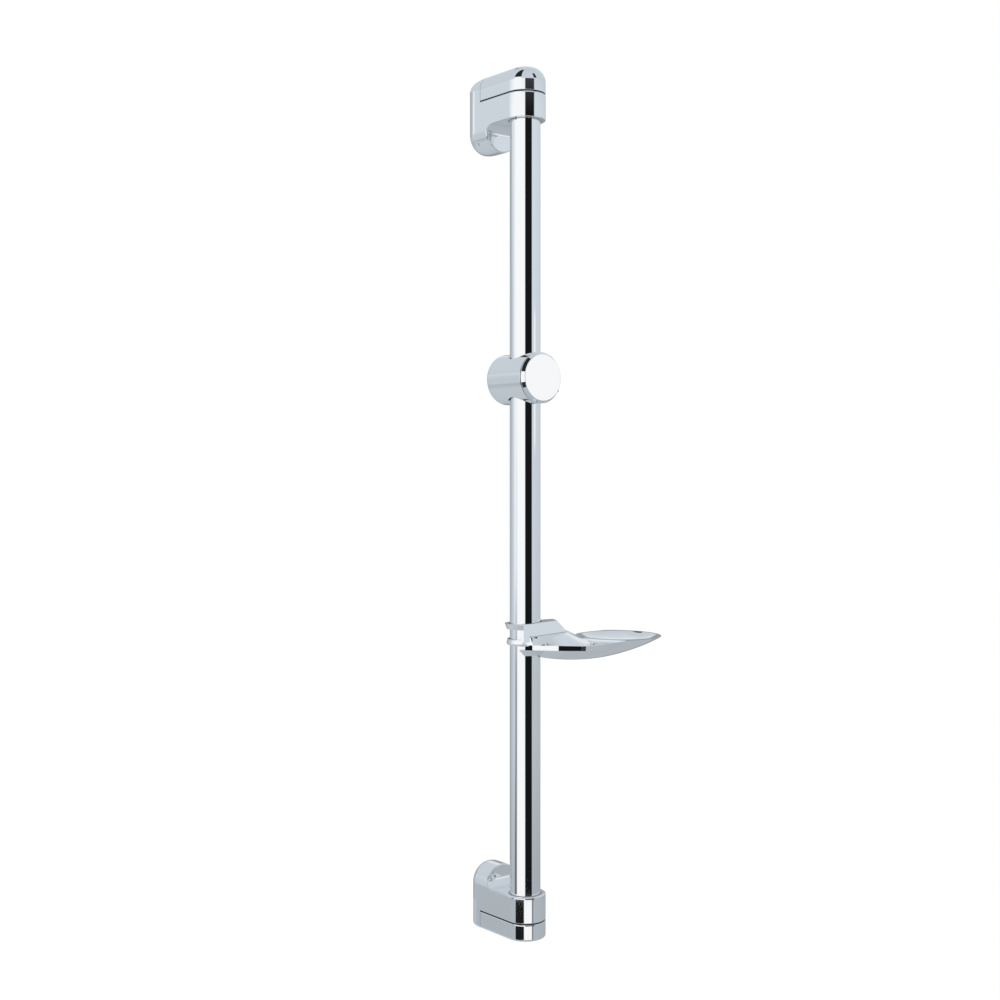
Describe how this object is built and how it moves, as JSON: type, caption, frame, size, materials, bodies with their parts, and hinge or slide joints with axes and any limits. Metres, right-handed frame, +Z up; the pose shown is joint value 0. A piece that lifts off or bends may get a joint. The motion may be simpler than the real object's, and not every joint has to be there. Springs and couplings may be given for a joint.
{
  "type": "shower slide rail",
  "caption": "Wall-mounted chrome shower slide rail: a round tube on cast brackets with a clamping slider, a tilting hand shower cradle and a swivelling soap dish.",
  "frame": {"origin": "on the wall plane, midway between the two wall screws", "axes": "+Z up along the tube, +Y into the wall, +X to the right as seen from the room"},
  "size_m": [0.1258, 0.1257, 0.7062],
  "materials": {
    "chrome_tube": "polished chrome plate",
    "chrome_cast": "polished chrome plate",
    "chrome_cover": "chrome plated plastic",
    "chrome_slider": "chrome plated plastic",
    "chrome_cradle": "chrome plated plastic",
    "chrome_dish": "chrome plated plastic",
    "grey_plastic": "moulded",
    "black_plastic": "moulded",
    "soft_grip": "soft moulded",
    "brass": "turned",
    "steel": "plain"
  },
  "bodies": {
    "rail": {"rail_tube": "chrome_tube", "upper_bracket": "chrome_cast", "lower_bracket": "chrome_cast", "upper_cap": "chrome_cover", "lower_cap": "chrome_cover", "upper_bush": "grey_plastic", "lower_bush": "grey_plastic", "upper_plug": "grey_plastic", "lower_plug": "grey_plastic", "upper_screw": "steel", "lower_screw": "steel"},
    "slide_rings": {"upper_slide_ring": "grey_plastic", "lower_slide_ring": "grey_plastic"},
    "slider": {"slider_barrel": "chrome_slider", "clamp_nut": "brass", "knob_washer": "black_plastic", "cradle_screw": "steel", "cradle_washer": "black_plastic"},
    "brake": {"brake_shoe": "soft_grip"},
    "knob": {"clamp_knob": "chrome_slider", "clamp_stud": "steel"},
    "cradle": {"shower_cradle": "chrome_cradle"},
    "dish_grip": {"dish_grip_pad": "soft_grip"},
    "dish": {"soap_dish": "chrome_dish"}
  },
  "joints": [
    {"name": "slider_slide", "type": "slide", "parent": "rail", "child": "slide_rings", "axis": [0, 0, 1], "range_m": [-0.12, 0.16]},
    {"name": "slider_swivel", "type": "hinge", "parent": "slide_rings", "child": "slider", "pos_m": [0, -0.0543, 0.1041], "axis": [0, 0, 1], "continuous": true},
    {"name": "brake_travel", "type": "slide", "parent": "slider", "child": "brake", "axis": [0, -1, 0], "range_m": [0, 0.00125]},
    {"name": "knob_turn", "type": "hinge", "parent": "brake", "child": "knob", "pos_m": [0, -0.0543, 0.1041], "axis": [0, -1, 0], "range_deg": [0, 360]},
    {"name": "cradle_tilt", "type": "hinge", "parent": "slider", "child": "cradle", "pos_m": [0.0323, -0.0403, 0.1041], "axis": [1, 0, 0], "range_deg": [-30, 30]},
    {"name": "dish_slide", "type": "slide", "parent": "rail", "child": "dish_grip", "axis": [0, 0, 1], "range_m": [-0.185, 0.05]},
    {"name": "dish_swivel", "type": "hinge", "parent": "dish_grip", "child": "dish", "pos_m": [0, -0.0543, -0.1061], "axis": [0, 0, 1], "range_deg": [-155, 30]}
  ],
  "couplings": [
    {"joint": "brake_travel", "follows": "knob_turn", "m_per_rad": 0.00019894}
  ]
}
